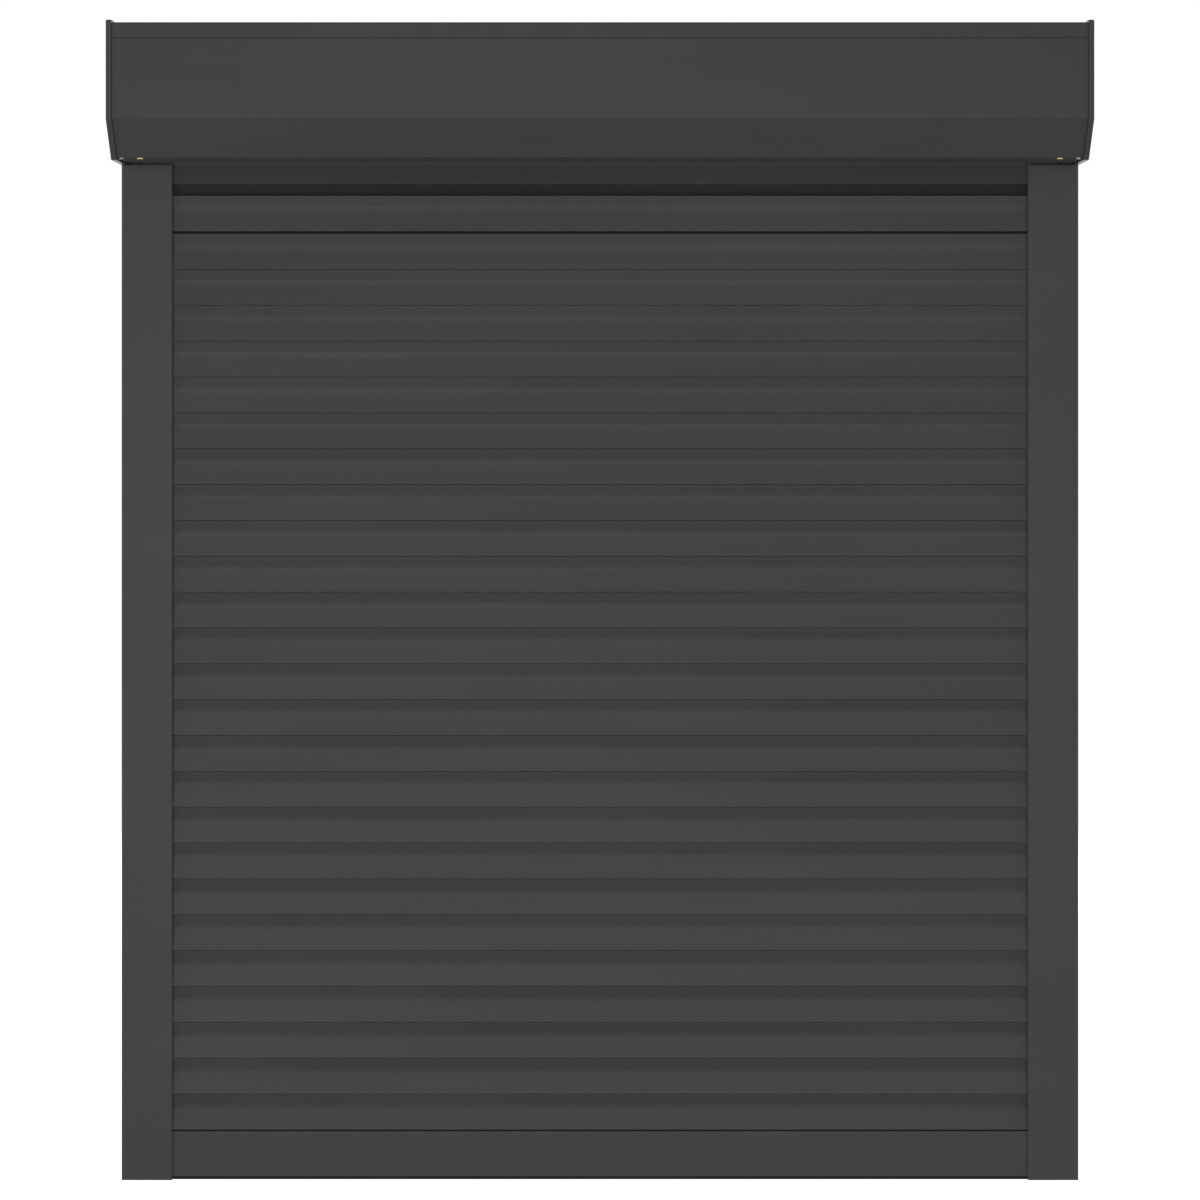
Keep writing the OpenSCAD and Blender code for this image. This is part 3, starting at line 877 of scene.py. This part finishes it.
@dataclass
class Fasteners:
    """The housing's domed screws and blind rivets, in place of their plain solids.

    The cross recess is drawn in from the rim of the screw's crown: its arms give the share of the
    radius that is left, by the steps from the middle of the nearest arm.
    """

    screw_r: float = 0.0036
    screw_h: float = 0.0019
    screw_shank: float = 0.0018
    tip_h: float = 0.0006
    tip_share: float = 0.6
    cross_r: float = 0.0021
    cross_depth: float = 0.0009
    cross_floor: float = 0.7
    cross_arms: tuple[float, ...] = (1.0, 0.96, 0.42, 0.34, 0.32)
    rivet_r: float = 0.0032
    rivet_h: float = 0.0010
    rivet_shank: float = 0.0016
    rivet_spacing: float = 0.070
    rivet_depth: float = 0.0037
    mandrel_r: float = 0.0008
    mandrel_taper: float = 0.85
    mandrel_level: float = 0.35
    fullness: float = 0.5
    crown_steps: int = 14
    steps: int = 32
    merged: float = 0.000001

    def build(self, wardrobe: Wardrobe) -> None:
        """Make the screws, the underside's rivets and the covers' rivets.

        Args:
            wardrobe: Finished materials.
        """
        self._underside("cover_screws", Slot.BRASS, wardrobe, self._screw, (self.screw_r, self.screw_h))
        self._underside("underside_rivets", Slot.STEEL, wardrobe, self._rivet, (self.rivet_r, self.rivet_h))
        low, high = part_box("cover_rivets")
        backward = Matrix.Rotation(math.radians(-90.0), 4, "X")
        placed = []
        for side in SIDES:
            x = side * (high.x - self.rivet_r)
            for row in (0.0, self.rivet_spacing):
                on_top = (x, low.y + self.rivet_r + row, high.z - self.rivet_h)
                behind = (x, high.y - self.rivet_h, low.z + self.rivet_r + row)
                placed.append((self._rivet(self.rivet_depth), Matrix.Translation(on_top)))
                placed.append((self._rivet(self.rivet_depth), Matrix.Translation(behind) @ backward))
        self._set("cover_rivets", Slot.PAINT, wardrobe, placed)

    def _underside(self, node: str, slot: Slot, wardrobe: Wardrobe,
                   turned: Callable[[float], bmesh.types.BMesh], head: Span) -> None:
        """Set one fastener near each end of the underside, head down.

        Args:
            node: CAD node that the pair stands for.
            slot: Its finish.
            wardrobe: Finished materials.
            turned: Makes one fastener from the length of its shank.
            head: Radius and height of its head.
        """
        low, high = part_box(node)
        radius, height = head
        base = low.z + height
        downward = Matrix.Rotation(math.radians(180.0), 4, "X")
        placed = []
        for side in SIDES:
            place = (side * (high.x - radius), (low.y + high.y) / 2.0, base)
            placed.append((turned(high.z - base), Matrix.Translation(place) @ downward))
        self._set(node, slot, wardrobe, placed)

    def _set(self, node: str, slot: Slot, wardrobe: Wardrobe,
             placed: Sequence[tuple[bmesh.types.BMesh, Matrix]]) -> None:
        """Join the fasteners of one node into one piece.

        Args:
            node: CAD node that the piece stands for.
            slot: Its finish.
            wardrobe: Finished materials.
            placed: Each fastener and its place.
        """
        whole = bmesh.new()
        for shape, place in placed:
            bmesh.ops.transform(shape, matrix=place, verts=shape.verts)
            part = bpy.data.meshes.new("part")
            shape.to_mesh(part)
            shape.free()
            whole.from_mesh(part)
            bpy.data.meshes.remove(part)
        piece = finished(f"domed_{node}", whole, [wardrobe.made[slot]])
        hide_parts(node)
        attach(piece, Body.FRAME.value)
        LOG.info("made %s", piece.name)

    def _turned(self, profile: Sequence[Span]) -> bmesh.types.BMesh:
        """Spin a profile round Z.

        Args:
            profile: Radius and height of each point.

        Returns:
            The turned shape.
        """
        shape = bmesh.new()
        chain = [shape.verts.new((radius, 0.0, height)) for radius, height in profile]
        run = [shape.edges.new(pair) for pair in zip(chain, chain[1:])]
        bmesh.ops.spin(shape, geom=chain + run, cent=(0.0, 0.0, 0.0), axis=(0.0, 0.0, 1.0),
                       dvec=(0.0, 0.0, 0.0), angle=2.0 * math.pi, steps=self.steps, use_merge=True,
                       use_normal_flip=False, use_duplicate=False)
        bmesh.ops.remove_doubles(shape, verts=shape.verts, dist=self.merged)
        return shape

    def _dome(self, inner: float, outer: float, height: float) -> list[Span]:
        """Give the points of a head with steep sides and a low crown.

        Args:
            inner: Radius that it starts from.
            outer: Radius of its edge.
            height: Height of its crown.

        Returns:
            Radius and height of each point, from near the middle to the edge.
        """
        start = math.asin((inner / outer) ** (1.0 / self.fullness))
        rest = math.pi / 2.0 - start
        turns = [start + rest * number / self.crown_steps for number in range(self.crown_steps)]
        crown = [(outer * math.sin(turn) ** self.fullness, height * math.cos(turn) ** self.fullness)
                 for turn in turns]
        return [*crown, (outer, 0.0)]

    def _rivet(self, depth: float) -> bmesh.types.BMesh:
        """Turn a blind rivet: dome, mandrel hole and shank.

        Args:
            depth: Length of the shank.

        Returns:
            The rivet, its head's underside on Z = 0.
        """
        level = self.rivet_h * self.mandrel_level
        dome = self._dome(self.mandrel_r, self.rivet_r, self.rivet_h)
        return self._turned([(0.0, level), (self.mandrel_r * self.mandrel_taper, level), *dome,
                             (self.rivet_shank, 0.0), (self.rivet_shank, -depth), (0.0, -depth)])

    def _screw(self, depth: float) -> bmesh.types.BMesh:
        """Turn a pan-head screw and sink its cross recess.

        Args:
            depth: Length of the shank.

        Returns:
            The screw, its head's underside on Z = 0.
        """
        dome = self._dome(self.cross_r, self.screw_r, self.screw_h)
        shape = self._turned([*dome, (self.screw_shank, 0.0), (self.screw_shank, self.tip_h - depth),
                              (self.screw_shank * self.tip_share, -depth), (0.0, -depth)])
        rim = [edge for edge in shape.edges if edge.is_boundary]
        quarter = self.steps // 4
        for vert in {vert for edge in rim for vert in edge.verts}:
            step = round(math.atan2(vert.co.y, vert.co.x) / (2.0 * math.pi) * self.steps)
            share = self.cross_arms[min(step % quarter, -step % quarter)]
            vert.co.x *= share
            vert.co.y *= share
        floor = drawn_verts(bmesh.ops.extrude_edge_only(shape, edges=rim))
        bmesh.ops.scale(shape, verts=floor, vec=(self.cross_floor, self.cross_floor, 1.0))
        bmesh.ops.translate(shape, verts=floor, vec=(0.0, 0.0, -self.cross_depth))
        bmesh.ops.holes_fill(shape, edges=[edge for edge in shape.edges if edge.is_boundary], sides=0)
        return shape


def dress_nodes(frame: Mapping[str, Any], wardrobe: Wardrobe) -> None:
    """Dress every CAD node in the finish of its slot.

    Args:
        wardrobe: Finished materials.
    """
    for entry in frame["record"]["subparts"]:
        wardrobe.dress(frame["nodes"][entry["node"]], Slot(entry["material_slot"]))
        LOG.info("dressed %s in %s", entry["node"], entry["material_slot"])


def main() -> None:
    """Load the frame, dress it and set the studio."""
    logging.basicConfig(level=logging.INFO, format="%(name)s: %(message)s")
    bpy.context.scene.view_settings.view_transform = "Standard"
    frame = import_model()
    wardrobe = Wardrobe()
    dress_nodes(frame, wardrobe)
    Curtain().build(wardrobe)
    Hangers().build(wardrobe)
    Fasteners().build(wardrobe)
    Studio().build()


if __name__ == "__main__":
    main()
